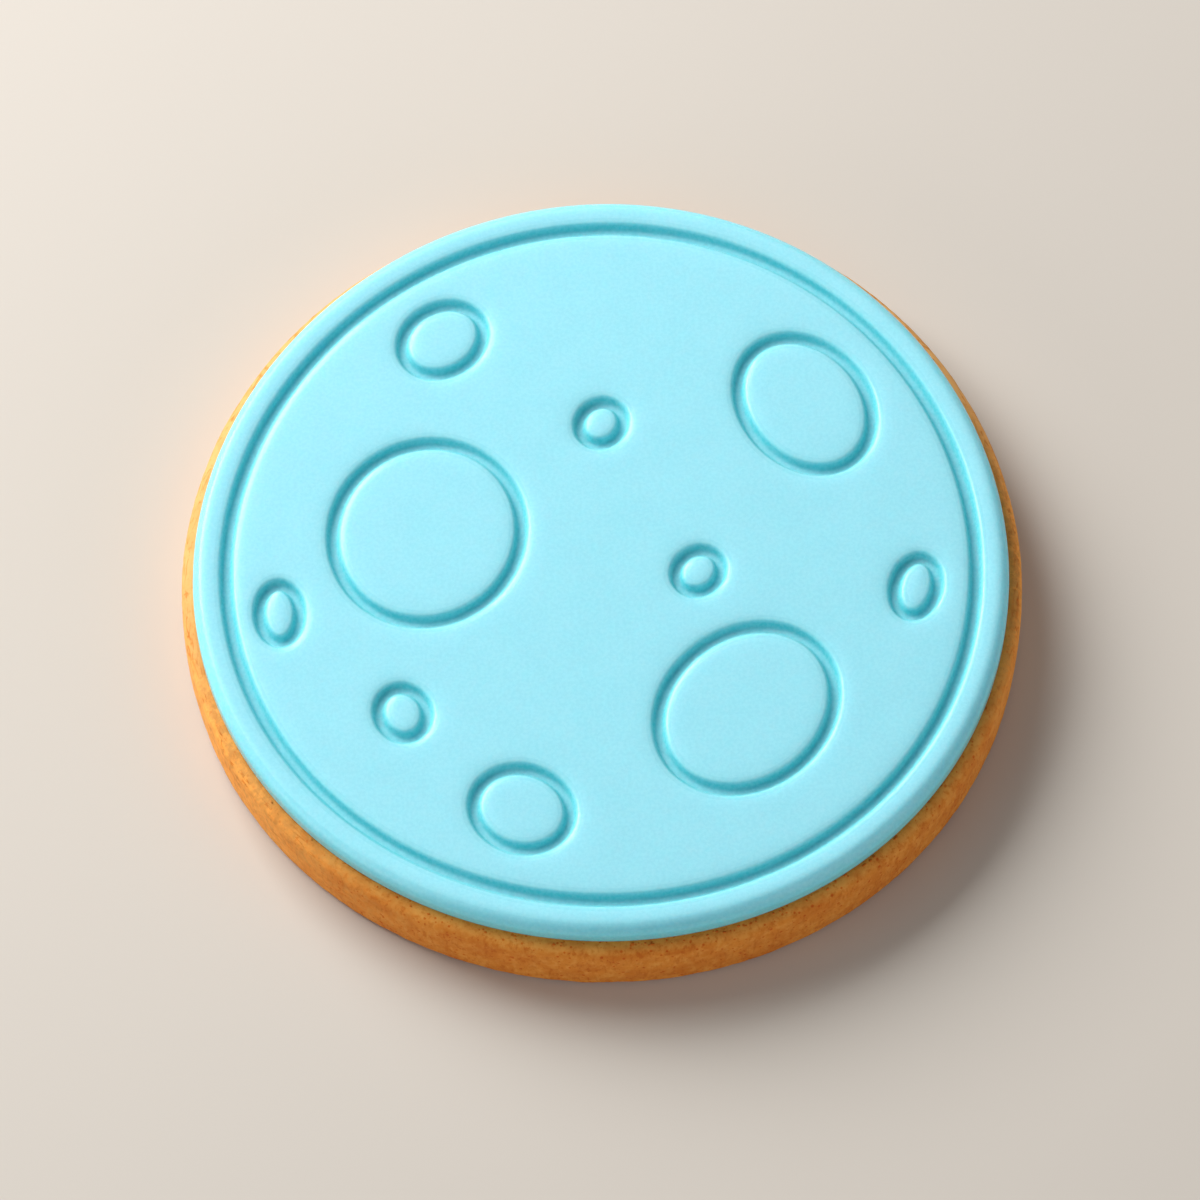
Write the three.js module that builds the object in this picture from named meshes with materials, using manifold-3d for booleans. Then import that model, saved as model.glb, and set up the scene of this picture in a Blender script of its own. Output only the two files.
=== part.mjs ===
// Fondant cookie: a round baked biscuit under a disc of rolled sugar fondant.
// The fondant is pressed with one ring along its rim and ten oval rings, like the craters of a moon.
//
// Frame: millimetres, +Z up. The origin is the centre of the biscuit's flat underside.
// Angles are in degrees, counterclockwise from +X as seen from above.

import * as THREE from 'three';
import { mergeVertices } from 'three/addons/utils/BufferGeometryUtils.js';
import Module from 'manifold-3d';

const wasm = await Module();
wasm.setup();

// ---------------------------------------------------------------- driving dimensions

const FACETS_ROUND = 72;

const biscuit = {
  radius: 37.5,
  thickness: 6.625,
  cornerRadius: 1.2,
  footRadius: 0.6,
  sideSwell: 0.12,
  lobeShare: 0.005,
};

const fondant = {
  radius: 36.2,
  thickness: 2.375,
  cornerRadius: 1.1,
  footRadius: 0.15,
  lobeShare: 0.0075,
};

// Both discs are cut by hand, so each outline swells and shrinks three times round.
const lobes = { count: 3, firstAt: 78 };

// A pressed line: a soft valley, halfWidth from its middle to where it is about a third of its full depth.
const groove = { halfWidth: 0.5, sharpness: 2.2, depth: 0.95 };

// Distances from a line's middle at which its section has a point. At the last one it is back at the top.
const GROOVE_STEPS = [0.15, 0.42, 0.66, 0.95];

const rimRing = { radius: 33.2 };

// Each crater is a pressed oval line: the centre of the oval, the half axes of its centre line,
// and the direction of the longer one.
const craters = [
  { x: -15.48, y: 3.13, long: 8.91, short: 8.31, turn: 72 },
  { x: 12.27, y: -15.0, long: 8.5, short: 7.03, turn: 46 },
  { x: 18.56, y: 14.94, long: 7.05, short: 5.48, turn: -60 },
  { x: -13.78, y: 22.5, long: 3.89, short: 3.24, turn: 38 },
  { x: -7.63, y: -24.07, long: 4.28, short: 3.75, turn: -25 },
  { x: -17.88, y: -14.5, long: 2.41, short: 2.09, turn: -72 },
  { x: 0.27, y: 13.57, long: 2.12, short: 1.89, turn: 57 },
  { x: 8.48, y: -1.47, long: 2.15, short: 1.88, turn: 50 },
  { x: 27.64, y: -3.63, long: 2.85, short: 1.84, turn: 75 },
  { x: -28.64, y: -4.42, long: 2.78, short: 1.77, turn: 92 },
];

const FACET_LENGTH_ON_CRATER = 1.3;
const FEWEST_CRATER_FACETS = 20;
const CUTTER_HEIGHT = 1;

// ---------------------------------------------------------------- outlines to turn on the lathe

// Points of a circular arc, both ends included. Angles are measured in the profile's plane.
function arc(centreX, centreY, radius, fromDeg, toDeg, steps) {
  return Array.from({ length: steps + 1 }, (_, i) => {
    const angle = THREE.MathUtils.degToRad(THREE.MathUtils.lerp(fromDeg, toDeg, i / steps));
    return new THREE.Vector2(centreX + radius * Math.cos(angle), centreY + radius * Math.sin(angle));
  });
}

// Depth of a pressed line at a distance from its middle.
function grooveDepth(offset) {
  const { halfWidth, sharpness, depth } = groove;
  const distance = Math.abs(offset);
  return distance < GROOVE_STEPS.at(-1) ? depth * Math.exp(-((distance / halfWidth) ** sharpness)) : 0;
}

// Offsets across a pressed line, from its outer edge to its inner edge.
function grooveOffsets() {
  return [...GROOVE_STEPS.toReversed(), ...GROOVE_STEPS.map((step) => -step)];
}

function biscuitProfile() {
  const { radius, thickness, cornerRadius, footRadius, sideSwell } = biscuit;
  const wall = radius - sideSwell;
  const middle = (footRadius + thickness - cornerRadius) / 2;
  return [
    new THREE.Vector2(0, 0),
    ...arc(wall - footRadius, footRadius, footRadius, -90, 0, 3),
    new THREE.Vector2(radius, middle),
    ...arc(wall - cornerRadius, thickness - cornerRadius, cornerRadius, 0, 90, 4),
    new THREE.Vector2(0, thickness),
  ];
}

function fondantProfile() {
  const { radius, thickness, cornerRadius, footRadius } = fondant;
  const bottom = biscuit.thickness;
  const top = bottom + thickness;
  return [
    new THREE.Vector2(0, bottom),
    ...arc(radius - footRadius, bottom + footRadius, footRadius, -90, 0, 1),
    ...arc(radius - cornerRadius, top - cornerRadius, cornerRadius, 0, 90, 5),
    ...grooveOffsets().map((offset) => new THREE.Vector2(rimRing.radius + offset, top - grooveDepth(offset))),
    new THREE.Vector2(0, top),
  ];
}

// ---------------------------------------------------------------- shapes

// Turns a profile of (distance from the axis, height) round the +Z axis.
function turned(profile, facets) {
  const geometry = new THREE.LatheGeometry(profile, facets);
  geometry.rotateX(Math.PI / 2);
  return geometry;
}

// Moves every point of a geometry with a function that changes its position in place.
function reshape(geometry, move) {
  const position = geometry.getAttribute('position');
  const point = new THREE.Vector3();
  for (let i = 0; i < position.count; i += 1) {
    move(point.fromBufferAttribute(position, i));
    position.setXYZ(i, point.x, point.y, point.z);
  }
  return geometry;
}

// Gives a turned disc its hand-cut outline.
function handCut(geometry, lobeShare) {
  return reshape(geometry, (point) => {
    const angle = Math.atan2(point.y, point.x) - THREE.MathUtils.degToRad(lobes.firstAt);
    const scale = 1 + lobeShare * Math.cos(lobes.count * angle);
    point.x *= scale;
    point.y *= scale;
  });
}

// The solid that presses one crater's line into a flat top at the given height: a turned ring,
// bent from its circle onto the oval so that the line keeps its width all the way round.
function craterCutter({ x, y, long, short, turn }, top) {
  const circle = (long + short) / 2;
  const facets = Math.max(FEWEST_CRATER_FACETS, Math.round((2 * Math.PI * circle) / FACET_LENGTH_ON_CRATER));
  const bed = grooveOffsets().reverse()
    .map((offset) => new THREE.Vector2(circle + offset, top - grooveDepth(offset)));
  const lid = [bed.at(-1), bed[0]].map((edge) => new THREE.Vector2(edge.x, top + CUTTER_HEIGHT));
  const ring = turned([...bed, ...lid, bed[0]], facets);
  reshape(ring, (point) => {
    const angle = Math.atan2(point.y, point.x);
    const offset = Math.hypot(point.x, point.y) - circle;
    const outward = new THREE.Vector2(short * Math.cos(angle), long * Math.sin(angle)).normalize();
    point.x = long * Math.cos(angle) + offset * outward.x;
    point.y = short * Math.sin(angle) + offset * outward.y;
  });
  return ring.rotateZ(THREE.MathUtils.degToRad(turn)).translate(x, y, 0);
}

// ---------------------------------------------------------------- solids

function toSolid(geometry) {
  const bare = geometry.clone();
  bare.deleteAttribute('normal');
  bare.deleteAttribute('uv');
  const closed = mergeVertices(bare);
  return new wasm.Manifold(new wasm.Mesh({
    numProp: 3,
    vertProperties: new Float32Array(closed.getAttribute('position').array),
    triVerts: new Uint32Array(closed.index.array),
  }));
}

function toGeometry(solid) {
  const { vertProperties, triVerts } = solid.getMesh();
  const geometry = new THREE.BufferGeometry();
  geometry.setAttribute('position', new THREE.BufferAttribute(vertProperties, 3));
  geometry.setIndex(new THREE.BufferAttribute(triVerts, 1));
  geometry.computeVertexNormals();
  return geometry;
}

function biscuitGeometry() {
  return handCut(turned(biscuitProfile(), FACETS_ROUND), biscuit.lobeShare);
}

function fondantGeometry() {
  const top = biscuit.thickness + fondant.thickness;
  let disc = toSolid(handCut(turned(fondantProfile(), FACETS_ROUND), fondant.lobeShare));
  for (const crater of craters) {
    disc = disc.subtract(toSolid(craterCutter(crater, top)));
  }
  return toGeometry(disc);
}

// ---------------------------------------------------------------- the cookie

function piece(name, geometry, look) {
  const mesh = new THREE.Mesh(geometry, new THREE.MeshStandardMaterial(look));
  mesh.name = name;
  return mesh;
}

const cookie = new THREE.Group();
cookie.add(piece('biscuit_base', biscuitGeometry(), { color: 0xd08b4a, roughness: 0.85, metalness: 0 }));
cookie.add(piece('fondant_disc', fondantGeometry(), { color: 0x9de8f5, roughness: 0.45, metalness: 0 }));

export default cookie;
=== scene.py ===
"""A fondant cookie: a round biscuit under a disc of blue rolled fondant, pressed like a cratered moon.

Sizes in the classes are millimetres and angles are degrees, counterclockwise from +X seen from above.
Meshes are shaped in millimetres, then scaled to the metres of the frame.
"""

import logging
import math
import random
from collections.abc import Callable
from dataclasses import dataclass
from enum import Enum

import bmesh
import bpy
import numpy as np
from bmesh.types import BMEdge, BMesh, BMVert
from mathutils import Matrix, Vector, noise


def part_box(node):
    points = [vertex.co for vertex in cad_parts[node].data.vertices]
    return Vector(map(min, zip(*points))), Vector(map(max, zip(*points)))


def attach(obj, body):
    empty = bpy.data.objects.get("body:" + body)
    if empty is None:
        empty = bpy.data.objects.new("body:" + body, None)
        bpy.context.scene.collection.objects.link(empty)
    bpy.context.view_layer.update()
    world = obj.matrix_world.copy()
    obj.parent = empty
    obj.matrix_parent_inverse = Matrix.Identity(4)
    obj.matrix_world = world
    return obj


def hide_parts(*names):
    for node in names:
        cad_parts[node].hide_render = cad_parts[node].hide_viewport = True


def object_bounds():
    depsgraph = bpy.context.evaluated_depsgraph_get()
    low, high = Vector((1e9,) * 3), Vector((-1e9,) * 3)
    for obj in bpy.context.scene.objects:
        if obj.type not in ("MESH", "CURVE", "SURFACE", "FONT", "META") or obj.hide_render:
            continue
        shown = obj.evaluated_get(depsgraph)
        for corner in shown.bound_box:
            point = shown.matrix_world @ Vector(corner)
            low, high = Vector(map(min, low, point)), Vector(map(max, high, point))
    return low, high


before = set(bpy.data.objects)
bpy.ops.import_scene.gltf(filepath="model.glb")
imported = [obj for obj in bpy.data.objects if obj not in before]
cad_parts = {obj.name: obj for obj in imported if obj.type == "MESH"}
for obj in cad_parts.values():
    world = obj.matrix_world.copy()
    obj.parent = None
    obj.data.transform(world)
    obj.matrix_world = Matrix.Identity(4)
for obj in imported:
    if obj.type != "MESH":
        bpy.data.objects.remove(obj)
cad_low, cad_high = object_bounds()

MM = 0.001
# Points closer than this are one point.
WELD = 0.004
# A turned shape is one wedge of the turn, doubled this many times.
DOUBLINGS = 4
# Points that stand for a whole outline, and for a whole oval, when they are measured.
OUTLINE_POINTS = 720
OVAL_POINTS = 240
# Points further than this past an oval aren't measured and count as far away.
OVAL_SURROUNDINGS = 5
FAR_AWAY = 99.0
# Rows inside an oval keep within this share of its sharpest bend.
SAFE_SHARE_OF_BEND = 0.8
POINTS_AT_ONCE = 4000
log = logging.getLogger("cookie")

Colour = tuple[float, float, float]
Span = tuple[float, float]


class Layer(Enum):
    """The solids of the frame that the pieces stand for."""

    BISCUIT = "biscuit_base"
    FONDANT = "fondant_disc"


class Slot(Enum):
    """The record's material slots."""

    BISCUIT = "biscuit"
    FONDANT = "fondant"


# ------------------------------------------------------------------ mesh tools


@dataclass(frozen=True)
class Corner:
    """A corner of a profile: distance from the axis, height, and the radius that rounds it."""

    out: float
    up: float
    radius: float = 0.0


def wire(bm: BMesh, corners: list[Corner], row: float, arc_steps: int = 8) -> None:
    """Draws a profile in the XZ plane as a chain of edges with rounded corners.

    Args:
        bm: The empty bmesh to draw in.
        corners: The profile's corners, in order.
        row: The longest edge to leave, in millimetres.
        arc_steps: Edges along each rounded corner.
    """
    verts = [bm.verts.new((corner.out, 0.0, corner.up)) for corner in corners]
    for pair in zip(verts, verts[1:]):
        bm.edges.new(pair)
    for corner, vert in zip(corners, verts):
        if corner.radius:
            bmesh.ops.bevel(bm, geom=[vert], offset=corner.radius, offset_type="OFFSET", segments=arc_steps,
                            profile=0.5, affect="VERTICES", material=-1)
    for edge in list(bm.edges):
        cuts = math.ceil(edge.calc_length() / row) - 1
        if cuts > 0:
            bmesh.ops.subdivide_edges(bm, edges=[edge], cuts=cuts)


def turn(bm: BMesh, steps: int) -> None:
    """Spins everything in a bmesh a full turn round the Z axis: one wedge, then doubled until it closes.

    Args:
        bm: The bmesh that holds the profile.
        steps: Steps in the whole turn. It is rounded up until every wedge has the same number.
    """
    wedges = 2 ** DOUBLINGS
    wedge = math.tau / wedges
    bmesh.ops.spin(bm, geom=[*bm.verts, *bm.edges], cent=(0, 0, 0), axis=(0, 0, 1), dvec=(0, 0, 0),
                   angle=wedge, space=Matrix.Identity(4), steps=math.ceil(steps / wedges),
                   use_merge=False, use_normal_flip=False, use_duplicate=False)
    for doubling in range(DOUBLINGS):
        copy = bmesh.ops.duplicate(bm, geom=[*bm.verts, *bm.edges, *bm.faces])["geom"]
        bmesh.ops.rotate(bm, verts=[item for item in copy if isinstance(item, BMVert)], cent=(0, 0, 0),
                         matrix=Matrix.Rotation(wedge * 2 ** doubling, 3, "Z"))
    bmesh.ops.remove_doubles(bm, verts=bm.verts, dist=WELD)


def absorb(target: BMesh, source: BMesh) -> None:
    """Moves one bmesh's shape into another.

    Args:
        target: The bmesh that takes it in.
        source: The bmesh that is taken. It is freed.
    """
    carrier = bpy.data.meshes.new("carrier")
    source.to_mesh(carrier)
    source.free()
    target.from_mesh(carrier)
    bpy.data.meshes.remove(carrier)


def rim_edges(bm: BMesh, keep: Callable[[Vector], bool]) -> list[BMEdge]:
    """The open edges whose middle point passes a test."""
    return [edge for edge in bm.edges
            if edge.is_boundary and keep((edge.verts[0].co + edge.verts[1].co) / 2)]


def flat_sheet(bm: BMesh, edges: list[BMEdge], cell: float,
               clear: Callable[[np.ndarray], np.ndarray]) -> None:
    """Closes flat loops of edges, with holes, by a square grid and a seam of triangles round it.

    Args:
        bm: The bmesh that holds the loops.
        edges: The open edges that bound the sheet. They lie at one height.
        cell: The grid's spacing, in millimetres.
        clear: Tells which of an array of points lie well inside the sheet.
    """
    corners = [vert.co for edge in edges for vert in edge.verts]
    reach = max(max(abs(corner.x), abs(corner.y)) for corner in corners)
    cells = math.ceil(reach / cell)
    before = set(bm.faces)
    grid = bmesh.ops.create_grid(bm, x_segments=2 * cells, y_segments=2 * cells, size=cells * cell,
                                 matrix=Matrix.Translation((0, 0, corners[0].z)))["verts"]
    inside = dict(zip(grid, clear(np.array([vert.co[:2] for vert in grid]))))
    outer = [vert for vert, is_clear in inside.items() if not is_clear]
    bmesh.ops.delete(bm, geom=outer, context="VERTS")
    bmesh.ops.delete(bm, geom=[edge for edge in bm.edges if edge.is_wire], context="EDGES")
    added = [face for face in bm.faces if face not in before]
    pinched = added
    while pinched:
        pinched = [face for face in added
                   if any(sum(edge.is_boundary for edge in vert.link_edges) > 2 for vert in face.verts)]
        bmesh.ops.delete(bm, geom=pinched, context="FACES")
        added = [face for face in added if face.is_valid]
    seam = [edge for face in added for edge in face.edges if edge.is_boundary]
    bmesh.ops.triangle_fill(bm, use_beauty=True, use_dissolve=False, edges=[*edges, *seam])
    bmesh.ops.delete(bm, geom=[vert for vert in bm.verts if not vert.link_faces], context="VERTS")


def finish_piece(bm: BMesh, name: str, layer: Layer,
                 material: bpy.types.Material) -> bpy.types.Object:
    """Turns a bmesh in millimetres into a piece that rides with the frame.

    Args:
        bm: The finished shape. It is freed.
        name: The piece's name.
        layer: The solid of the frame that the piece replaces.
        material: The piece's finish.

    Returns:
        The new object, at the origin.
    """
    bmesh.ops.scale(bm, vec=(MM, MM, MM), verts=bm.verts)
    bmesh.ops.recalc_face_normals(bm, faces=bm.faces)
    mesh = bpy.data.meshes.new(name)
    bm.to_mesh(mesh)
    bm.free()
    mesh.shade_smooth()
    mesh.materials.append(material)
    piece = bpy.data.objects.new(name, mesh)
    bpy.context.scene.collection.objects.link(piece)
    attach(piece, "root")
    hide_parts(layer.value)
    log.info("%s: %d faces", name, len(mesh.polygons))
    return piece


# ------------------------------------------------------------------ outlines


@dataclass(frozen=True)
class Lobes:
    """How a hand-cut outline swells and shrinks round the cookie."""

    share: float
    count: int = 3
    first_at: float = 78.0

    def scale(self, angle: float | np.ndarray) -> float | np.ndarray:
        """The outline's radius at an angle in radians, as a share of its mean."""
        return 1 + self.share * np.cos(self.count * (angle - math.radians(self.first_at)))

    def shape(self, bm: BMesh) -> None:
        """Moves every vertex out or in with the outline.

        Args:
            bm: The round shape to bend.
        """
        for vert in bm.verts:
            swell = self.scale(math.atan2(vert.co.y, vert.co.x))
            vert.co.x *= swell
            vert.co.y *= swell

    def radius_in(self, layer: Layer) -> float:
        """The mean radius that makes the outline as wide as a solid's box.

        Args:
            layer: The solid.

        Returns:
            The radius, in millimetres.
        """
        low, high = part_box(layer.value)
        angles = np.linspace(0, math.tau, OUTLINE_POINTS, endpoint=False)
        across = self.scale(angles) * np.cos(angles)
        return (high.x - low.x) / (across.max() - across.min()) / MM


@dataclass(frozen=True)
class Groove:
    """The section of a pressed line: a narrow valley whose shoulders sink softly."""

    half_width: float = 0.5
    sharpness: float = 3.8
    depth: float = 0.7
    # Painted shade in the line: the shares of the deeper colour on its floor and on its steep walls.
    floor_shade: float = 0.32
    wall_shade: float = 0.53
    shoulder_depth: float = 0.2
    shoulder_reach: float = 0.95
    lip: float = 1.05
    lip_sharpness: int = 6
    row: float = 0.07
    reach: float = 1.2

    def channel(self, offset: np.ndarray) -> np.ndarray:
        """How deep the line is at each offset from its middle, from 0 on the top to 1 on the floor."""
        return np.exp(-(np.abs(offset) / self.half_width) ** self.sharpness)

    def steepness(self, offset: np.ndarray) -> np.ndarray:
        """How steep the line's wall is at each offset.

        Args:
            offset: Distances from the line's middle, in millimetres.

        Returns:
            The steepness at each, as a share of the steepest.
        """
        out = np.abs(offset) / self.half_width
        steepest = ((self.sharpness - 1) / self.sharpness) ** (1 / self.sharpness)
        slope = out ** (self.sharpness - 1) * np.exp(-out ** self.sharpness)
        return slope / (steepest ** (self.sharpness - 1) * math.exp(-steepest ** self.sharpness))

    def stretch(self, offset: np.ndarray) -> np.ndarray:
        """How far the paste is stretched at each offset: 1 at the line, 0 past its lips."""
        return np.exp(-(np.abs(offset) / self.lip) ** self.lip_sharpness)

    def shoulder(self, offset: np.ndarray) -> np.ndarray:
        """How far the top sinks towards the line at each offset, in millimetres."""
        return self.shoulder_depth * np.exp(-(offset / self.shoulder_reach) ** 2)


@dataclass(frozen=True)
class Oval:
    """The middle line of a crater's groove: its centre, half axes and the long one's direction."""

    x: float
    y: float
    long: float
    short: float
    turn: float

    def room_inside(self) -> float:
        """How far inside the oval a line that follows it can lie without folding at the sharp ends."""
        return SAFE_SHARE_OF_BEND * self.short ** 2 / self.long

    def across(self, angle: np.ndarray | float, offset: np.ndarray | float) -> tuple:
        """The point that lies an offset outside the oval.

        Args:
            angle: The direction from the oval's centre, in radians from its long axis.
            offset: How far outside, in millimetres. It is negative inside.

        Returns:
            The point's X and Y in the cookie's plane.
        """
        slope = np.hypot(self.short * np.cos(angle), self.long * np.sin(angle))
        along = self.long * np.cos(angle) + offset * self.short * np.cos(angle) / slope
        aside = self.short * np.sin(angle) + offset * self.long * np.sin(angle) / slope
        cos, sin = math.cos(math.radians(self.turn)), math.sin(math.radians(self.turn))
        return self.x + along * cos - aside * sin, self.y + along * sin + aside * cos

    def offsets(self, points: np.ndarray) -> np.ndarray:
        """How far points lie outside the oval.

        Args:
            points: The points' X and Y, one point to a row.

        Returns:
            The distances in millimetres, negative inside, and FAR_AWAY for points well clear of the oval.
        """
        angles = np.linspace(0, math.tau, OVAL_POINTS, endpoint=False)
        line = np.stack(self.across(angles, 0.0), 1)
        outward = np.stack(self.across(angles, 1.0), 1) - line
        result = np.full(len(points), FAR_AWAY)
        near = np.hypot(points[:, 0] - self.x, points[:, 1] - self.y) < self.long + OVAL_SURROUNDINGS
        for chunk in np.array_split(np.flatnonzero(near), 1 + near.sum() // POINTS_AT_ONCE):
            between = points[chunk, None, :] - line[None]
            closest = (between ** 2).sum(2).argmin(1)
            result[chunk] = (between[np.arange(len(chunk)), closest] * outward[closest]).sum(1)
        return result


# ------------------------------------------------------------------ finishes


class Nodes:
    """A short way to write a node tree: any node, and the few kinds that the finishes share."""

    def __init__(self, tree: bpy.types.NodeTree) -> None:
        """Starts on an empty tree."""
        self.tree = tree
        tree.nodes.clear()

    def make(self, kind: str, inputs: dict | None = None, **settings: object) -> bpy.types.Node:
        """Adds a node.

        Args:
            kind: The node's type name without "ShaderNode".
            inputs: Values or output sockets for its inputs, by name or number.
            settings: Properties of the node.

        Returns:
            The node.
        """
        name = kind if kind.startswith("Node") else "ShaderNode" + kind
        node = self.tree.nodes.new(name)
        for key, value in settings.items():
            setattr(node, key, value)
        for key, value in (inputs or {}).items():
            if isinstance(value, bpy.types.NodeSocket):
                self.tree.links.new(value, node.inputs[key])
            else:
                node.inputs[key].default_value = value
        return node

    def noise(self, place: bpy.types.NodeSocket, per_mm: float, detail: float,
              roughness: float = 0.5) -> bpy.types.NodeSocket:
        """Soft noise of a scale given in blotches per millimetre, from 0 to 1."""
        made = self.make("TexNoise", {"Vector": place, "Scale": per_mm, "Detail": detail,
                                      "Roughness": roughness})
        return made.outputs["Fac"]

    def ramp(self, value: bpy.types.NodeSocket, start: float, end: float, low: float = 0.0,
             high: float = 1.0) -> bpy.types.NodeSocket:
        """A smooth step of a value from start to end, between low and high."""
        made = self.make("MapRange", {"Value": value, 1: start, 2: end, 3: low, 4: high},
                         interpolation_type="SMOOTHSTEP")
        return made.outputs["Result"]

    def sum(self, first: object, second: object, how: str = "ADD") -> bpy.types.NodeSocket:
        """Two numbers joined by a sum or another operation."""
        return self.make("Math", {0: first, 1: second}, operation=how).outputs[0]

    def blend(self, share: object, first: object, second: object, how: str = "MIX") -> bpy.types.NodeSocket:
        """Two colours mixed by a share from 0 to 1."""
        made = self.make("Mix", {0: share, 6: first, 7: second}, data_type="RGBA", blend_type=how)
        return made.outputs[2]


def rgba(colour: Colour) -> tuple[float, float, float, float]:
    """A colour with full cover."""
    return (*colour, 1.0)


def uneven_group() -> bpy.types.NodeTree:
    """Makes the shader group of an uneven surface, once: a soft share that wanders over it.

    Returns:
        The group. It takes a place, blotches per millimetre, and where in the noise the share starts and
        ends, and gives the share, from 0 to 1.
    """
    tree = bpy.data.node_groups.get("uneven")
    if tree:
        return tree
    tree = bpy.data.node_groups.new("uneven", "ShaderNodeTree")
    tree.interface.new_socket("Place", in_out="INPUT", socket_type="NodeSocketVector")
    for name in ("Per mm", "Start", "End"):
        tree.interface.new_socket(name, in_out="INPUT", socket_type="NodeSocketFloat")
    tree.interface.new_socket("Share", in_out="OUTPUT", socket_type="NodeSocketFloat")
    nodes = Nodes(tree)
    given = nodes.make("NodeGroupInput").outputs
    blotches = nodes.noise(given["Place"], given["Per mm"], detail=4.0, roughness=0.6)
    nodes.make("NodeGroupOutput", {"Share": nodes.ramp(blotches, given["Start"], given["End"])})
    return tree


def uneven(nodes: Nodes, place: bpy.types.NodeSocket, per_mm: float, start: float,
           end: float) -> bpy.types.NodeSocket:
    """Places the group of an uneven surface in a finish.

    Args:
        nodes: The finish's tree.
        place: The place on the piece, in millimetres.
        per_mm: Blotches per millimetre.
        start: The noise at which the share leaves 0.
        end: The noise at which the share reaches 1.

    Returns:
        The share, from 0 to 1.
    """
    made = nodes.make("Group", {}, node_tree=uneven_group())
    nodes.tree.links.new(place, made.inputs["Place"])
    for name, value in (("Per mm", per_mm), ("Start", start), ("End", end)):
        made.inputs[name].default_value = value
    return made.outputs["Share"]


def in_millimetres(nodes: Nodes) -> bpy.types.NodeSocket:
    """The place on the piece, in millimetres."""
    return nodes.make("Mapping", {"Vector": nodes.make("TexCoord").outputs["Object"],
                                  "Scale": (1 / MM, 1 / MM, 1 / MM)}).outputs[0]


@dataclass(frozen=True)
class Patches:
    """Soft patches: their number per millimetre, where they start and end in the noise, their cover."""

    per_mm: float
    start: float
    end: float
    cover: float

    def share(self, nodes: Nodes, place: bpy.types.NodeSocket) -> bpy.types.NodeSocket:
        """How much the patches cover, from 0 to their cover."""
        return nodes.sum(uneven(nodes, place, self.per_mm, self.start, self.end), self.cover, "MULTIPLY")


@dataclass(frozen=True)
class FondantFinish:
    """Satin sugar paste: smoother where it is stretched over an edge and duller in pressed lines, with
    painted shade as the deeper colour in the pressed lines and on the side of the disc.

    The dustings are a coarse and a fine one of starch. The share of stretching or sinking at which the
    roughness has changed over is changed_at.
    """

    top: Colour = (0.292, 0.695, 0.795)
    # deep and side are painted shade: the deeper colours of the pressed lines and of the disc's side.
    deep: Colour = (0.004, 0.562, 0.622)
    side: Colour = (0.17, 0.7, 0.82)
    roughness: float = 0.7
    stretched_roughness: float = 0.18
    pressed_roughness: float = 0.88
    gloss: float = 0.4
    translucence: float = 0.65
    scatter: Colour = (0.35, 1.6, 1.75)
    dust: Colour = (0.5, 0.92, 1.0)
    dustings: tuple[Patches, ...] = (Patches(0.3, 0.35, 0.65, 0.05), Patches(3.0, 0.35, 0.65, 0.15))
    skin_per_mm: float = 4.0
    skin_strength: float = 0.3
    skin_relief: float = 0.05
    changed_at: float = 0.4

    def material(self) -> bpy.types.Material:
        """Makes the finish.

        Returns:
            The material.
        """
        made = bpy.data.materials.new("sugar paste")
        made.use_nodes = True
        nodes = Nodes(made.node_tree)
        place = in_millimetres(nodes)
        groove_shade, sunk, side, stretched = (nodes.make("Attribute", attribute_name=name).outputs["Fac"]
                                       for name in ("groove_shade", "sunk", "side", "stretched"))
        # Painted shade: the deeper colour in the pressed lines, then the deeper colour on the side of the
        # disc.
        colour = nodes.blend(groove_shade, rgba(self.top), rgba(self.deep))
        colour = nodes.blend(side, colour, rgba(self.side))
        for dusting in self.dustings:
            colour = nodes.blend(dusting.share(nodes, place), colour, rgba(self.dust))
        skin = nodes.noise(place, self.skin_per_mm, detail=3.0)
        bump = nodes.make("Bump", {"Height": skin, "Strength": self.skin_strength,
                                   "Distance": self.skin_relief * MM})
        over_edges = nodes.ramp(stretched, 0.0, self.changed_at, self.roughness, self.stretched_roughness)
        in_lines = nodes.ramp(sunk, 0.0, self.changed_at, 0.0, self.pressed_roughness)
        roughness = nodes.sum(over_edges, in_lines, "MAXIMUM")
        shader = nodes.make("BsdfPrincipled", {"Base Color": colour, "Roughness": roughness,
                                               "Normal": bump.outputs[0], "IOR": 1.45,
                                               "Specular IOR Level": self.gloss,
                                               "Subsurface Weight": self.translucence,
                                               "Subsurface Scale": MM, "Subsurface Radius": self.scatter})
        nodes.make("OutputMaterial", {"Surface": shader.outputs[0]})
        return made


@dataclass(frozen=True)
class Lines:
    """Thin lines round a side: their pull along it, number per millimetre, width, and where they show.

    The last are the three numbers of an uneven share: blotches per millimetre, start and end.
    """

    pull: float
    per_mm: float
    width: float
    shown: tuple[float, float, float]


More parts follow.
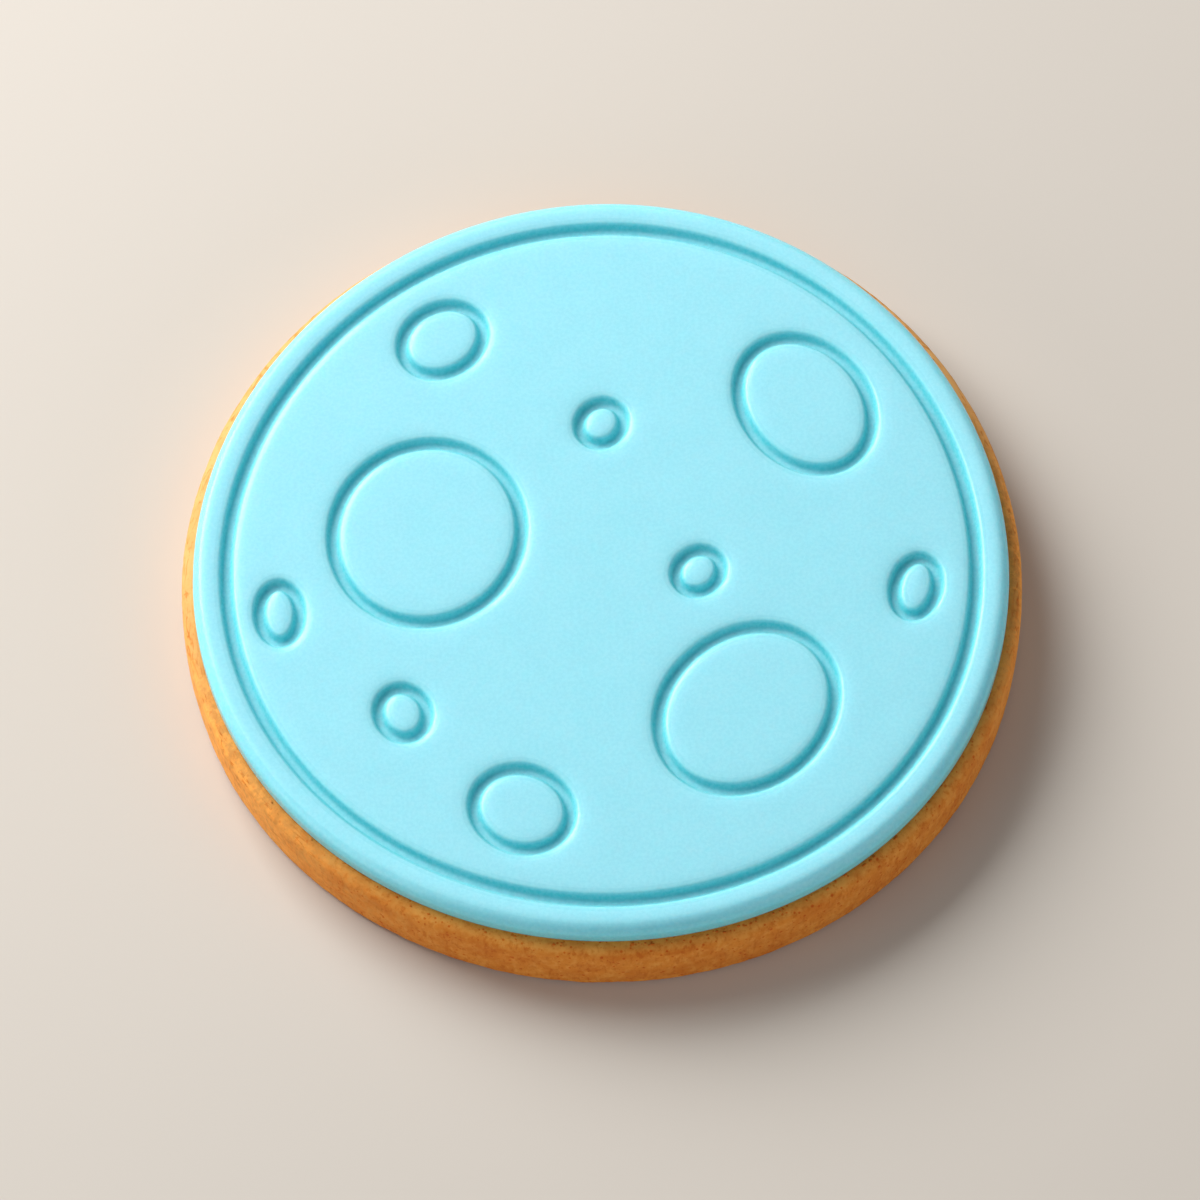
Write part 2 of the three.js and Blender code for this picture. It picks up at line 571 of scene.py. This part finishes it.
@dataclass(frozen=True)
class BiscuitFinish:
    """Dry baked crumb: mottled and speckled, with a grainy top edge. Its ground is paler towards the key
    lamp and browner away from it, uneven baking with painted light and painted shade in it; the top edge is
    paler, but darker on the lower left, painted shade on the corner there.

    A span runs from none of a thing to all of it: in distance from the axis towards the shaded, browner
    side, in height, or in noise. The creases run nearly level round the side, where the dough was cut, and
    the strokes are short ones along the top edge, where it was torn. A speck size is a number of cells per
    millimetre and the speck's reach in its cell.
    """

    # The ground's tones: lit, half lit and shaded copies of the baked colour, painted light and shade along
    # with uneven baking.
    lit_barely_baked: Colour = (0.76, 0.415, 0.138)
    half_lit_lightly_baked: Colour = (0.98, 0.42, 0.085)
    shaded_well_baked: Colour = (0.71, 0.245, 0.03)
    # Their pale copies. Along the top edge the half lit one is darker than the ground: painted shade on the
    # corner.
    lit_pale: Colour = (0.8, 0.42, 0.145)
    half_lit_pale: Colour = (0.61, 0.265, 0.063)
    shaded_pale: Colour = (0.8, 0.36, 0.07)
    toast: Colour = (0.78, 0.52, 0.25)
    speck: Colour = (0.86, 0.5, 0.22)
    # The side away from the key lamp, which the ground browns towards: painted shade along with baking.
    shaded_browned_towards: float = 285.0
    lit_barely_span: Span = (8.0, -14.0)
    smooth_span: Span = (28.0, 12.0)
    shaded_browned_span: Span = (8.0, 33.0)
    top_edge: Span = (6.45, 6.85)
    lace: tuple[float, float, float] = (1.4, 0.4, 0.6)
    lace_cover: Span = (0.45, 0.9)
    foot: Span = (0.7, 0.1)
    foot_cover: float = 0.6
    torn_from: Span = (5.4, 6.0)
    torn_to: Span = (6.6, 6.3)
    outline_radius: float = 37.5
    grain_per_mm: float = 2.4
    grain_span: Span = (0.5, 0.34)
    grain_cover: float = 0.55
    drag: float = 0.45
    pale_patches: Patches = Patches(0.8, 0.43, 0.72, 0.5)
    pale_flecks: Patches = Patches(1.8, 0.47, 0.67, 0.6)
    toast_patches: Patches = Patches(0.5, 0.37, 0.67, 0.55)
    creases: Lines = Lines(9.0, 0.9, 0.05, (0.3, 0.45, 0.6))
    strokes: Lines = Lines(3.0, 1.3, 0.06, (0.7, 0.48, 0.58))
    speck_sizes: tuple[Span, ...] = ((1.15, 0.22), (1.9, 0.28))
    speck_cells: Span = (0.5, 0.65)
    relief: float = 0.06
    roughness: float = 0.85

    def material(self) -> bpy.types.Material:
        """Makes the finish.

        Returns:
            The material.
        """
        made = bpy.data.materials.new("baked crumb")
        made.use_nodes = True
        nodes = Nodes(made.node_tree)
        place = in_millimetres(nodes)
        specks = self.specks(nodes, place)
        grain = nodes.noise(place, self.grain_per_mm, detail=3.0, roughness=0.6)
        height = nodes.sum(grain, nodes.sum(specks, -0.5, "MULTIPLY"))
        bump = nodes.make("Bump", {"Height": height, "Strength": 0.5, "Distance": self.relief * MM})
        shader = nodes.make("BsdfPrincipled", {"Base Color": self.colour(nodes, place, specks),
                                               "Roughness": self.roughness, "Normal": bump.outputs[0],
                                               "IOR": 1.4, "Specular IOR Level": 0.3})
        nodes.make("OutputMaterial", {"Surface": shader.outputs[0]})
        return made

    def colour(self, nodes: Nodes, place: bpy.types.NodeSocket,
               specks: bpy.types.NodeSocket) -> bpy.types.NodeSocket:
        """The colour: a baked ground with painted light towards the key lamp and painted shade away from
        it, pale patches over it, then the browner marks.

        Args:
            nodes: The finish's tree.
            place: The place on the piece, in millimetres.
            specks: Where the specks are, from 0 to 1.

        Returns:
            The colour.
        """
        height = nodes.make("SeparateXYZ", {0: place}).outputs[2]
        angle = math.radians(self.shaded_browned_towards)
        towards = nodes.make("VectorMath", {0: place, 1: (math.cos(angle), math.sin(angle), 0.0)},
                             operation="DOT_PRODUCT").outputs["Value"]
        lit_barely, smooth, shaded_browned = (nodes.ramp(towards, *span)
                                   for span in (self.lit_barely_span, self.smooth_span, self.shaded_browned_span))
        dragged = nodes.make("Mapping", {"Vector": place, "Scale": (1.0, 1.0, self.drag)}).outputs[0]
        grain = nodes.noise(dragged, self.grain_per_mm, detail=3.0, roughness=0.6)
        # Painted light and shade with the baking: paler towards the key lamp, browner away from it.
        colour = nodes.blend(shaded_browned, rgba(self.half_lit_lightly_baked), rgba(self.shaded_well_baked))
        colour = nodes.blend(lit_barely, colour, rgba(self.lit_barely_baked))
        pale = nodes.blend(shaded_browned, rgba(self.half_lit_pale), rgba(self.shaded_pale))
        pale = nodes.blend(lit_barely, pale, rgba(self.lit_pale))
        lace = nodes.ramp(uneven(nodes, place, *self.lace), 0.0, 1.0, *self.lace_cover)
        # Along the top edge the half lit pale colour darkens the ground: painted shade on the corner.
        near_top = nodes.sum(nodes.ramp(nodes.sum(height, grain), *self.top_edge), lace, "MULTIPLY")
        for share in (self.pale_patches.share(nodes, place), self.pale_flecks.share(nodes, dragged),
                      near_top):
            colour = nodes.blend(share, colour, pale)
        crumb = nodes.make("Attribute", attribute_name="crumb").outputs["Fac"]
        # Each mark: where it is, its cover where the side is rough and where it is smooth, and its stain.
        marks = (
            (self.toast_patches.share(nodes, place), 1.0, 0.5, self.toast),
            (nodes.ramp(grain, *self.grain_span, 0.0, self.grain_cover), 0.9, 0.15, self.toast),
            (self.lines(nodes, place, self.creases), 0.15, 0.5, self.toast),
            # Darker towards the bottom.
            (nodes.ramp(height, *self.foot, 0.0, self.foot_cover), 1.0, 1.0, self.toast),
            (self.torn_edge(nodes, place, height), 0.1, 0.9, self.toast),
            (nodes.sum(specks, crumb, "MAXIMUM"), 1.0, 0.3, self.speck),
        )
        for share, where_rough, where_smooth, stain in marks:
            cover = nodes.ramp(smooth, 0.0, 1.0, where_rough, where_smooth)
            colour = nodes.blend(nodes.sum(share, cover, "MULTIPLY"), colour, rgba(stain), "MULTIPLY")
        return colour

    def along_the_side(self, nodes: Nodes, place: bpy.types.NodeSocket,
                       pull: float) -> bpy.types.NodeSocket:
        """Coordinates in millimetres that follow the biscuit's outline.

        Args:
            nodes: The finish's tree.
            place: The place on the piece, in millimetres.
            pull: How many times longer a pattern on them gets along the outline than across it.

        Returns:
            The coordinates. Their Z runs out over the ledge and then down the side.
        """
        level = nodes.make("VectorMath", {0: place, 1: (1.0, 1.0, 0.0)}, operation="MULTIPLY").outputs[0]
        out = nodes.make("VectorMath", {0: level}, operation="LENGTH").outputs["Value"]
        direction = nodes.make("VectorMath", {0: level}, operation="NORMALIZE").outputs[0]
        around = nodes.make("Mapping", {"Vector": direction,
                                        "Scale": [self.outline_radius / pull] * 3}).outputs[0]
        down = nodes.sum(out, nodes.make("SeparateXYZ", {0: place}).outputs[2], "SUBTRACT")
        return nodes.make("VectorMath", {0: around, 1: nodes.make("CombineXYZ", {2: down}).outputs[0]},
                          operation="ADD").outputs[0]

    def lines(self, nodes: Nodes, place: bpy.types.NodeSocket, kind: Lines) -> bpy.types.NodeSocket:
        """Thin wandering lines, broken here and there, where a soft noise passes its middle value.

        Args:
            nodes: The finish's tree.
            place: The place on the piece, in millimetres.
            kind: The lines' sizes.

        Returns:
            Where the lines are, from 0 to 1.
        """
        soft = nodes.noise(self.along_the_side(nodes, place, kind.pull), kind.per_mm, detail=1.0)
        from_middle = nodes.make("Math", {0: nodes.sum(soft, 0.5, "SUBTRACT")}, operation="ABSOLUTE")
        thin = nodes.ramp(from_middle.outputs[0], kind.width, 0.0)
        return nodes.sum(thin, uneven(nodes, place, *kind.shown), "MULTIPLY")

    def torn_edge(self, nodes: Nodes, place: bpy.types.NodeSocket,
                  height: bpy.types.NodeSocket) -> bpy.types.NodeSocket:
        """The strokes, near the top edge only, from 0 to 1."""
        edge = nodes.sum(nodes.ramp(height, *self.torn_from), nodes.ramp(height, *self.torn_to), "MULTIPLY")
        return nodes.sum(self.lines(nodes, place, self.strokes), edge, "MULTIPLY")

    def specks(self, nodes: Nodes, place: bpy.types.NodeSocket) -> bpy.types.NodeSocket:
        """Small scattered brown specks of each size.

        Args:
            nodes: The finish's tree.
            place: The place on the piece, in millimetres.

        Returns:
            Where the specks are, from 0 to 1.
        """
        layers = []
        for per_mm, size in self.speck_sizes:
            cells = nodes.make("TexVoronoi", {"Vector": place, "Scale": per_mm}).outputs
            few = nodes.ramp(nodes.make("SeparateXYZ", {0: cells["Color"]}).outputs[0], *self.speck_cells)
            layers.append(nodes.sum(nodes.ramp(cells["Distance"], size, size / 2), few, "MULTIPLY"))
        return nodes.sum(*layers, "MAXIMUM")


# ------------------------------------------------------------------ the fondant


@dataclass(frozen=True)
class Fondant:
    """The disc of rolled fondant: a soft rim, a pressed ring just inside it, and ten pressed ovals."""

    lobes: Lobes = Lobes(share=0.0075)
    corner_radius: float = 1.18
    foot_radius: float = 0.15
    underside_inset: float = 2.0
    ring_radius: float = 33.2
    groove: Groove = Groove()
    craters: tuple[Oval, ...] = (
        Oval(-15.48, 3.13, 8.91, 8.31, 72),
        Oval(12.27, -15.0, 8.5, 7.03, 46),
        Oval(18.56, 14.94, 7.05, 5.48, -60),
        Oval(-13.78, 22.5, 3.89, 3.24, 38),
        Oval(-7.63, -24.07, 4.28, 3.75, -25),
        Oval(-17.88, -14.5, 2.41, 2.09, -72),
        Oval(0.27, 13.57, 2.12, 1.89, 57),
        Oval(8.48, -1.47, 2.15, 1.88, 50),
        Oval(27.64, -3.63, 2.85, 1.84, 75),
        Oval(-28.64, -4.42, 2.78, 1.77, 92),
    )
    rim_stretch: float = 4.0
    waves_per_mm: float = 0.12
    wave_depth: float = 0.03
    uneven_depth: float = 0.08
    steps_round: int = 400
    row: float = 0.25
    cell: float = 0.5
    seam: float = 0.25
    step_on_crater: float = 0.34
    fewest_crater_steps: int = 56
    finish: FondantFinish = FondantFinish()

    def build(self) -> bpy.types.Object:
        """Makes the fondant as one closed piece.

        Returns:
            The piece.
        """
        low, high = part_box(Layer.FONDANT.value)
        top = high.z / MM
        bm = self.rim(low.z / MM, top)
        for crater in self.craters:
            absorb(bm, self.crater(crater, top))
        flat_sheet(bm, rim_edges(bm, lambda middle: True), self.cell, self.on_the_plain)
        bmesh.ops.remove_doubles(bm, verts=bm.verts, dist=WELD)
        self.press(bm, top)
        return finish_piece(bm, "fondant", Layer.FONDANT, self.finish.material())

    def rim(self, bottom: float, top: float) -> BMesh:
        """Makes the underside, the side, the round rim and the strip that the ring is pressed into.

        Args:
            bottom: The height of the underside, in millimetres.
            top: The height of the top.

        Returns:
            The shape, open inside the strip.
        """
        bm = bmesh.new()
        radius = self.lobes.radius_in(Layer.FONDANT)
        wire(bm, [Corner(radius - self.underside_inset, bottom), Corner(radius, bottom, self.foot_radius),
                  Corner(radius, top, self.corner_radius),
                  Corner(self.ring_radius + self.groove.reach, top)], row=self.row)
        self.strip(bm, self.ring_radius, self.groove.reach, top)
        turn(bm, self.steps_round)
        bmesh.ops.edgeloop_fill(bm, edges=rim_edges(bm, lambda middle: middle.z < bottom + WELD))
        self.lobes.shape(bm)
        return bm

    def strip(self, bm: BMesh, middle: float, inward: float, top: float) -> None:
        """Draws the section of the flat rows that a line is pressed into.

        Args:
            bm: The bmesh that takes it in.
            middle: The line's radius, in millimetres.
            inward: How far the rows reach inside the line.
            top: The height of the top.
        """
        own = bmesh.new()
        wire(own, [Corner(middle - inward, top), Corner(middle + self.groove.reach, top)],
             row=self.groove.row)
        absorb(bm, own)
        bmesh.ops.remove_doubles(bm, verts=bm.verts, dist=WELD)

    def crater(self, oval: Oval, top: float) -> BMesh:
        """Makes a crater's flat rows, bent from a circle onto its oval, and the island inside them.

        Args:
            oval: The crater's line.
            top: The height of the top, in millimetres.

        Returns:
            The flat shape, open outside the rows.
        """
        bm = bmesh.new()
        circle = (oval.long + oval.short) / 2
        inward = min(self.groove.reach, oval.room_inside())
        self.strip(bm, circle, inward, top)
        turn(bm, max(self.fewest_crater_steps, round(math.tau * circle / self.step_on_crater)))
        island = circle - inward
        inner = rim_edges(bm, lambda middle: middle.xy.length < circle)
        flat_sheet(bm, inner, self.cell, lambda points: np.hypot(*points.T) < island - self.seam)
        for vert in bm.verts:
            offset = vert.co.xy.length - circle
            angle = math.atan2(vert.co.y, vert.co.x)
            if offset < -inward - WELD:
                share = vert.co.xy.length / island
                edge = Vector(oval.across(angle, -inward))
                centre = Vector((oval.x, oval.y))
                vert.co.xy = centre + (edge - centre) * share
            else:
                vert.co.xy = oval.across(angle, offset)
        return bm

    def offsets(self, points: np.ndarray) -> list[np.ndarray]:
        """How far points lie outside each pressed line.

        Args:
            points: The points' X and Y, one point to a row.

        Returns:
            The distances in millimetres from each line, the ring first.
        """
        angles = np.arctan2(points[:, 1], points[:, 0])
        ring = np.hypot(points[:, 0], points[:, 1]) / self.lobes.scale(angles) - self.ring_radius
        return [ring, *(crater.offsets(points) for crater in self.craters)]

    def on_the_plain(self, points: np.ndarray) -> np.ndarray:
        """Tells which points lie well inside the sheet between the ring and the craters.

        Args:
            points: The points' X and Y, one point to a row.

        Returns:
            True for each point that does.
        """
        ring, *craters = self.offsets(points)
        past = self.groove.reach + self.seam
        return (ring < -past) & (np.min(craters, axis=0) > past)

    def press(self, bm: BMesh, top: float) -> None:
        """Presses the lines into the flat top and notes what each vertex is part of.

        The attributes are shares from 0 to 1: groove_shade for the painted shade in a pressed line, sunk
        for its depth, side for the side of the disc, whose colour is painted shade too, and stretched for
        the paste that bends over an edge.

        Args:
            bm: The fondant, closed and still flat.
            top: The height of its top, in millimetres.
        """
        layers = bm.verts.layers.float
        groove_shade, sunk, side, stretched = (layers.new(name) for name in ("groove_shade", "sunk", "side", "stretched"))
        verts = [vert for vert in bm.verts if vert.co.z > top - self.corner_radius - WELD]
        points = np.array([vert.co[:2] for vert in verts])
        channel, shoulder, steepness, stretch = np.zeros((4, len(verts)))
        for offset in self.offsets(points):
            channel = np.maximum(channel, self.groove.channel(offset))
            steepness = np.maximum(steepness, self.groove.steepness(offset))
            stretch = np.maximum(stretch, self.groove.stretch(offset))
            shoulder += self.groove.shoulder(offset)
        # Painted shade in the lines: a share on the floor and a larger one on the steep walls.
        shares = self.groove.floor_shade * channel + self.groove.wall_shade * steepness
        for vert in bm.verts:
            vert[side] = min(1.0, (top - vert.co.z) / self.corner_radius)
            vert[stretched] = min(1.0, self.rim_stretch * vert[side])
        for vert, deep, soft, share, pull in zip(verts, channel, shoulder, shares, stretch):
            vert[groove_shade] = share
            vert[sunk] = deep
            vert[stretched] = max(vert[stretched], pull)
            wave = noise.noise(Vector((vert.co.x, vert.co.y, 0)) * self.waves_per_mm)
            sink = self.groove.depth * deep * (1 + self.uneven_depth * wave)
            vert.co.z -= sink + soft + self.wave_depth * (1 + wave)


# ------------------------------------------------------------------ the biscuit


@dataclass(frozen=True)
class Biscuit:
    """The baked base: a narrow ledge, a rounded corner, a slightly swollen side and a flat underside.

    Its top is uneven only within the distance "uncovered" of its rim. The rest, under the fondant, is flat.
    """

    lobes: Lobes = Lobes(share=0.005)
    corner_radius: float = 1.2
    foot_radius: float = 0.6
    ledge: float = 3.0
    side_swell: float = 0.12
    underside_inset: float = 0.2
    uncovered: float = 2.2
    lumps_per_mm: float = 0.25
    lump_depth: float = 0.08
    grain_per_mm: float = 1.7
    grain_depth: float = 0.05
    pits_per_mm: float = 0.9
    pit_size: float = 0.35
    pit_depth: float = 0.12
    row: float = 0.21
    cell: float = 1.0
    seam: float = 0.4
    steps_round: int = 960
    crumbs: int = 60
    crumbs_at: float = 272.0
    crumbs_spread: float = 35.0
    crumb_sizes: Span = (0.06, 0.13)
    crumb_places: Span = (0.1, 0.45)
    crumb_lengths: Span = (0.7, 1.6)
    crumb_width: float = 0.8
    crumb_height: float = 0.7
    crumb_lumps_per_mm: float = 3.0
    crumb_lumpiness: float = 0.5
    crumb_sink: float = 0.05
    crumb_seed: int = 4
    finish: BiscuitFinish = BiscuitFinish()

    def build(self) -> bpy.types.Object:
        """Makes the biscuit as one closed piece.

        Returns:
            The piece.
        """
        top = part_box(Layer.BISCUIT.value)[1].z / MM
        radius = self.lobes.radius_in(Layer.BISCUIT)
        bm = bmesh.new()
        wall = radius - self.side_swell
        wire(bm, [Corner(wall - self.ledge, top), Corner(wall, top, self.corner_radius),
                  Corner(wall, 0, self.foot_radius),
                  Corner(wall - self.foot_radius - self.underside_inset, 0)], row=self.row)
        turn(bm, self.steps_round)
        self.swell(bm, top)
        self.lobes.shape(bm)
        bmesh.ops.edgeloop_fill(bm, edges=rim_edges(bm, lambda middle: middle.z > top - WELD))
        underside = min(edge.verts[0].co.xy.length for edge in rim_edges(bm, lambda middle: True))
        flat_sheet(bm, rim_edges(bm, lambda middle: True), self.cell,
                   lambda points: np.hypot(*points.T) < underside - self.seam)
        bmesh.ops.recalc_face_normals(bm, faces=bm.faces)
        self.crumble(bm, radius, top)
        self.scatter_crumbs(bm, wall, top)
        return finish_piece(bm, "biscuit", Layer.BISCUIT, self.finish.material())

    def swell(self, bm: BMesh, top: float) -> None:
        """Rounds the side out a little at half height.

        Args:
            bm: The biscuit's shape.
            top: The height of its top, in millimetres.
        """
        for vert in bm.verts:
            radius = vert.co.xy.length
            bulge = self.side_swell * math.sin(math.pi * vert.co.z / top)
            vert.co.xy *= (radius + bulge) / radius

    def crumble(self, bm: BMesh, radius: float, top: float) -> None:
        """Sinks the surface unevenly, with small pits, and leaves the face under the fondant flat.

        Args:
            bm: The biscuit's shape.
            radius: Its mean radius, in millimetres.
            top: The height of its top.
        """
        bm.normal_update()
        moves = []
        for vert in bm.verts:
            place = vert.co.copy()
            past_cover = place.xy.length - radius + self.uncovered
            exposed = min(1.0, max(0.0, past_cover)) if place.z > top - WELD else 1.0
            lump = 0.5 + 0.5 * noise.fractal(place * self.lumps_per_mm, 1.0, 2.0, 3)
            grain = 0.5 + 0.5 * noise.noise(place * self.grain_per_mm)
            distances, _ = noise.voronoi(place * self.pits_per_mm)
            pit = max(0.0, 1 - distances[0] / self.pit_size) ** 2
            sink = self.lump_depth * lump + self.grain_depth * grain + self.pit_depth * pit
            moves.append(vert.normal * (-sink * exposed))
        for vert, move in zip(bm.verts, moves):
            vert.co += move

    def scatter_crumbs(self, bm: BMesh, wall: float, top: float) -> None:
        """Drops small brown crumbs on the ledge, against the foot of the fondant.

        Args:
            bm: The biscuit's shape. The crumbs are joined to it and marked with the attribute "crumb".
            wall: The radius of the side, before its swelling, in millimetres.
            top: The height of the ledge.
        """
        is_crumb = bm.verts.layers.float.new("crumb")
        draw = random.Random(self.crumb_seed)
        noise.seed_set(self.crumb_seed)  # noise_vector goes by the clock unless it is seeded.
        for _ in range(self.crumbs):
            angle = math.radians(draw.gauss(self.crumbs_at, self.crumbs_spread))
            size = draw.uniform(*self.crumb_sizes)
            past_ledge = draw.uniform(*self.crumb_places)
            drop = self.corner_radius - math.sqrt(self.corner_radius ** 2 - past_ledge ** 2)
            out = (wall - self.corner_radius + past_ledge) * self.lobes.scale(angle)
            place = Vector((out * math.cos(angle), out * math.sin(angle), top - drop - self.crumb_sink))
            crumb = bmesh.ops.create_icosphere(bm, subdivisions=2, radius=size)["verts"]
            length = draw.uniform(*self.crumb_lengths)
            bmesh.ops.scale(bm, vec=(length, self.crumb_width, self.crumb_height), verts=crumb)
            bmesh.ops.rotate(bm, verts=crumb, cent=(0, 0, 0),
                             matrix=Matrix.Rotation(angle + math.pi / 2, 3, "Z"))
            bmesh.ops.translate(bm, vec=place, verts=crumb)
            for vert in crumb:
                lump = noise.noise_vector(vert.co * self.crumb_lumps_per_mm)
                vert.co += lump * size * self.crumb_lumpiness
                vert[is_crumb] = 1.0


# ------------------------------------------------------------------ the studio


@dataclass(frozen=True)
class Lamp:
    """A square soft light aimed at the cookie."""

    name: str
    azimuth: float
    elevation: float
    distance: float
    side: float
    power: float
    colour: Colour = (1.0, 1.0, 1.0)

    def hang(self, target: Vector) -> None:
        """Hangs the light and aims it at a point.

        Args:
            target: The point.
        """
        light = bpy.data.lights.new(self.name, "AREA")
        light.shape = "SQUARE"
        light.size = self.side
        light.energy = self.power
        light.color = self.colour
        lamp = bpy.data.objects.new(self.name, light)
        azimuth, elevation = math.radians(self.azimuth), math.radians(self.elevation)
        towards = Vector((math.cos(elevation) * math.cos(azimuth), math.cos(elevation) * math.sin(azimuth),
                          math.sin(elevation)))
        lamp.location = target + towards * self.distance
        lamp.rotation_euler = towards.to_track_quat("Z", "Y").to_euler()
        bpy.context.scene.collection.objects.link(lamp)


@dataclass(frozen=True)
class Studio:
    """A pale floor, soft lights and the camera."""

    floor_side: float = 6.0
    floor_colour: Colour = (0.6, 0.55, 0.49)
    floor_roughness: float = 0.8
    air_colour: Colour = (1.0, 1.0, 1.0)
    air_strength: float = 0.2
    lamps: tuple[Lamp, ...] = (
        Lamp("key", azimuth=134.7, elevation=38, distance=0.6, side=0.42, power=5.8),
        Lamp("fill", azimuth=-42, elevation=12, distance=0.6, side=0.5, power=1.15),
        Lamp("left", azimuth=212, elevation=12, distance=0.6, side=0.4, power=0.95),
    )
    camera_elevation: float = 63.9
    camera_distance: float = 0.6
    camera_roll: float = -1.7
    lens: float = 202.3
    aim: tuple[float, float, float] = (-0.3, -2.2, 5.0)

    def build(self) -> None:
        """Sets the stage round the cookie."""
        centre = Vector(((cad_low.x + cad_high.x) / 2, (cad_low.y + cad_high.y) / 2, cad_low.z))
        self.lay_floor(cad_low.z)
        for lamp in self.lamps:
            lamp.hang(centre)
        self.fill_air()
        self.place_camera()
        bpy.context.scene.view_settings.view_transform = "Standard"

    def lay_floor(self, height: float) -> None:
        """Lays the plain floor that the cookie rests on.

        Args:
            height: The floor's height, in metres.
        """
        bm = bmesh.new()
        bmesh.ops.create_grid(bm, x_segments=1, y_segments=1, size=self.floor_side / 2)
        bmesh.ops.translate(bm, vec=(0, 0, height), verts=bm.verts)
        mesh = bpy.data.meshes.new("floor")
        bm.to_mesh(mesh)
        bm.free()
        material = bpy.data.materials.new("floor")
        material.use_nodes = True
        nodes = Nodes(material.node_tree)
        shader = nodes.make("BsdfPrincipled", {"Base Color": rgba(self.floor_colour),
                                               "Roughness": self.floor_roughness})
        nodes.make("OutputMaterial", {"Surface": shader.outputs[0]})
        mesh.materials.append(material)
        floor = bpy.data.objects.new("floor", mesh)
        bpy.context.scene.collection.objects.link(floor)

    def fill_air(self) -> None:
        """Gives the even light of a white room."""
        world = bpy.data.worlds.new("air")
        world.use_nodes = True
        nodes = Nodes(world.node_tree)
        air = nodes.make("Background", {"Color": rgba(self.air_colour), "Strength": self.air_strength})
        nodes.make("OutputWorld", {"Surface": air.outputs[0]})
        bpy.context.scene.world = world

    def place_camera(self) -> None:
        """Aims a long lens at the cookie from the front and well above it."""
        camera = bpy.data.cameras.new("camera")
        camera.lens = self.lens
        camera.clip_start, camera.clip_end = 0.01, 20.0
        view = bpy.data.objects.new("camera", camera)
        elevation = math.radians(self.camera_elevation)
        back = Vector((0, -math.cos(elevation), math.sin(elevation)))
        turned = Matrix.Rotation(math.radians(self.camera_roll), 4, back)
        aimed = back.to_track_quat("Z", "Y").to_matrix().to_4x4()
        view.matrix_world = (Matrix.Translation(Vector(self.aim) * MM + back * self.camera_distance)
                             @ turned @ aimed)
        bpy.context.scene.collection.objects.link(view)
        bpy.context.scene.camera = view


def main() -> None:
    """Builds the cookie and its stage."""
    logging.basicConfig(level=logging.INFO, format="%(name)s: %(message)s")
    Fondant().build()
    Biscuit().build()
    Studio().build()


if __name__ == "__main__":
    main()
